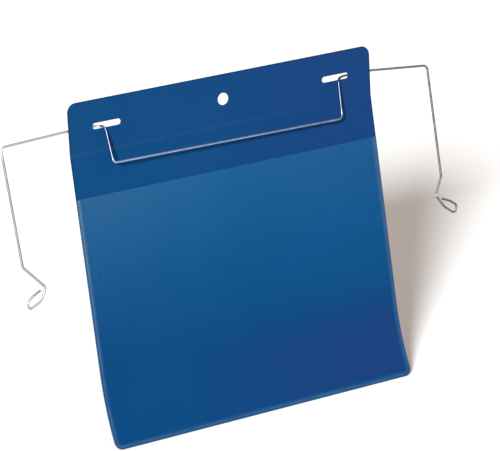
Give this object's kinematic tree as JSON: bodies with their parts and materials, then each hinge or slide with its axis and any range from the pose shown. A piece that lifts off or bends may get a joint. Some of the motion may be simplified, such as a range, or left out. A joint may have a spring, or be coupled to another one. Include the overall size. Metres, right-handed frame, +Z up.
{
  "type": "document pocket",
  "caption": "Landscape document pocket of blue sheet with a clear front film open at the top, a slotted header with a hanging hole, and a bent wire hanger that swings in the slots.",
  "frame": {"origin": "centre of the hanging hole on the front face of the header, the point the pocket hangs by", "axes": "+X to the right along the top edge as seen from the front, +Y to the back along the hanging hole, +Z up along the header"},
  "size_m": [0.321, 0.039, 0.2142],
  "materials": {
    "blue_sheet": "satin polypropylene sheet with a fine grain",
    "clear_film": "clear glossy film",
    "zinc_wire": "zinc plated, drawn"
  },
  "bodies": {
    "pocket": {"header_panel": "blue_sheet", "header_lining": "blue_sheet", "header_weld": "blue_sheet", "back_panel": "blue_sheet", "front_film": "clear_film", "left_weld": "blue_sheet", "right_weld": "blue_sheet", "bottom_weld": "blue_sheet"},
    "hanger": {"wire_hanger": "zinc_wire", "left_eye": "zinc_wire", "right_eye": "zinc_wire"}
  },
  "joints": [
    {"name": "hanger_swing", "type": "hinge", "parent": "pocket", "child": "hanger", "pos_m": [0, 0.00165, -0.0013], "axis": [-1, 0, 0], "range_deg": [0, 60]}
  ]
}
